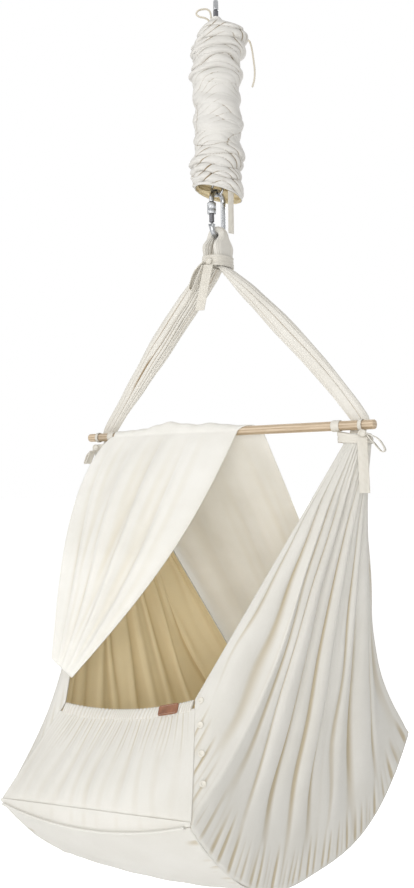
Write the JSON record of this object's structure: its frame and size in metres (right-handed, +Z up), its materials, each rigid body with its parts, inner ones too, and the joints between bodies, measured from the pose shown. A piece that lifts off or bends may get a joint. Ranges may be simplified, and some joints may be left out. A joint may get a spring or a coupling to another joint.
{
  "type": "hanging baby cradle",
  "caption": "Cotton baby cradle gathered on a wooden spreader bar, hung by a strap and screw carabiners from a spring in a gathered sleeve, with a flap and veil.",
  "frame": {"origin": "where the ceiling hook bears on the inside of the top carabiner's upper bow; everything hangs below it", "axes": "+Z up along the hanging line; X along the spreader bar, +X to the right as seen from the open front; +Y towards the back, so the front flap faces -Y"},
  "size_m": [0.7095, 0.7382, 1.6845],
  "materials": {
    "steel": "satin nickel plate",
    "gate_steel": "darker satin plate",
    "spring_steel": "drawn spring wire, zinc plated",
    "ash": "light sanded ash with a thin matt oil",
    "cotton": "undyed organic cotton, plain weave, washed",
    "tape": "folded cotton tape of the same cloth",
    "cord": "twisted cotton cord",
    "wool": "quilted mattress cover",
    "voile": "thin plain cotton voile",
    "leather": "smooth brown leather",
    "stud": "cream press stud"
  },
  "bodies": {
    "top_carabiner": {"top_carabiner_frame": "steel", "top_gate_pin": "steel", "drawcord_loop": "cord"},
    "top_gate": {"top_carabiner_gate": "gate_steel"},
    "top_nut": {"top_carabiner_nut": "steel"},
    "hanger": {"upper_eye_bolt": "steel", "upper_eye_nut": "steel", "upper_end_plug": "gate_steel", "extension_spring": "spring_steel", "safety_cord": "cord", "spring_sleeve": "cotton", "drawcord_tail": "cord"},
    "lower_plug": {"lower_end_plug": "gate_steel", "sleeve_tape": "tape"},
    "lower_eye": {"lower_eye_bolt": "steel", "lower_eye_nut": "steel"},
    "lower_carabiner": {"lower_carabiner_frame": "steel", "lower_gate_pin": "steel"},
    "lower_gate": {"lower_carabiner_gate": "gate_steel"},
    "lower_nut": {"lower_carabiner_nut": "steel"},
    "front_flap": {"front_flap": "cotton", "front_elastic_casing": "cotton", "leather_label": "leather"},
    "cradle": {"strap_tie_band": "tape", "strap_tie_knot": "tape", "strap_tie_tail": "tape", "strap_tie_loop": "tape", "right_tie_band": "tape", "right_tie_inner_wrap": "tape", "right_tie_outer_wrap": "tape", "right_tie_knot": "tape", "right_tie_tail": "tape", "right_tie_loop": "tape", "left_tie_band": "tape", "left_tie_inner_wrap": "tape", "left_tie_outer_wrap": "tape", "left_tie_knot": "tape", "left_tie_loop": "tape", "spreader_bar": "ash", "strap_loop": "cotton", "left_strap": "cotton", "right_strap": "cotton", "left_side_panel": "cotton", "right_side_panel": "cotton", "base_panel": "cotton", "front_apron": "cotton", "back_flap": "cotton", "back_elastic_casing": "cotton", "front_piping": "cotton", "back_piping": "cotton", "mattress": "wool", "canopy_veil": "voile", "right_stud_1": "stud", "right_stud_2": "stud", "right_stud_3": "stud", "right_stud_4": "stud"}
  },
  "joints": [
    {"name": "top_swing", "type": "hinge", "parent": "top_carabiner", "child": "hanger", "pos_m": [0, 0, -0.085], "axis": [-0.6018, 0.7986, 0], "range_deg": [-20, 20]},
    {"name": "top_gate_open", "type": "hinge", "parent": "top_carabiner", "child": "top_gate", "pos_m": [0.01143, -0.01517, -0.064], "axis": [-0.7986, -0.6018, 0], "range_deg": [0, 18.5], "stiffness_Nm_per_rad": 0.05, "springref_deg": -34.38},
    {"name": "top_nut_travel", "type": "slide", "parent": "top_gate", "child": "top_nut", "axis": [0, 0, 1], "range_m": [0, 0.022]},
    {"name": "spring_stretch", "type": "slide", "parent": "hanger", "child": "lower_plug", "axis": [0, 0, -1], "range_m": [0, 0.2], "stiffness_N_per_m": 600, "springref_m": -0.25, "deforming": ["extension_spring", "safety_cord", "spring_sleeve"]},
    {"name": "cradle_turn", "type": "hinge", "parent": "lower_plug", "child": "lower_eye", "pos_m": [0, 0, -0.345], "axis": [0, 0, 1], "continuous": true},
    {"name": "lower_swing", "type": "hinge", "parent": "lower_eye", "child": "lower_carabiner", "pos_m": [0, 0, -0.3788], "axis": [1, 0, 0], "range_deg": [-10, 10]},
    {"name": "lower_gate_open", "type": "hinge", "parent": "lower_carabiner", "child": "lower_gate", "pos_m": [0, -0.019, -0.44], "axis": [-1, 0, 0], "range_deg": [0, 18.5], "stiffness_Nm_per_rad": 0.05, "springref_deg": -34.38},
    {"name": "lower_nut_travel", "type": "slide", "parent": "lower_gate", "child": "lower_nut", "axis": [0, 0, 1], "range_m": [-0.015, 0.007]},
    {"name": "cradle_rock", "type": "hinge", "parent": "lower_carabiner", "child": "cradle", "pos_m": [0, 0, -0.461], "axis": [0, 1, 0], "range_deg": [-15, 15]},
    {"name": "flap_fold", "type": "hinge", "parent": "cradle", "child": "front_flap", "pos_m": [-0.007, -0.3575, -1.4629], "axis": [0.9941, 0, 0.1085], "range_deg": [0, 130]}
  ]
}
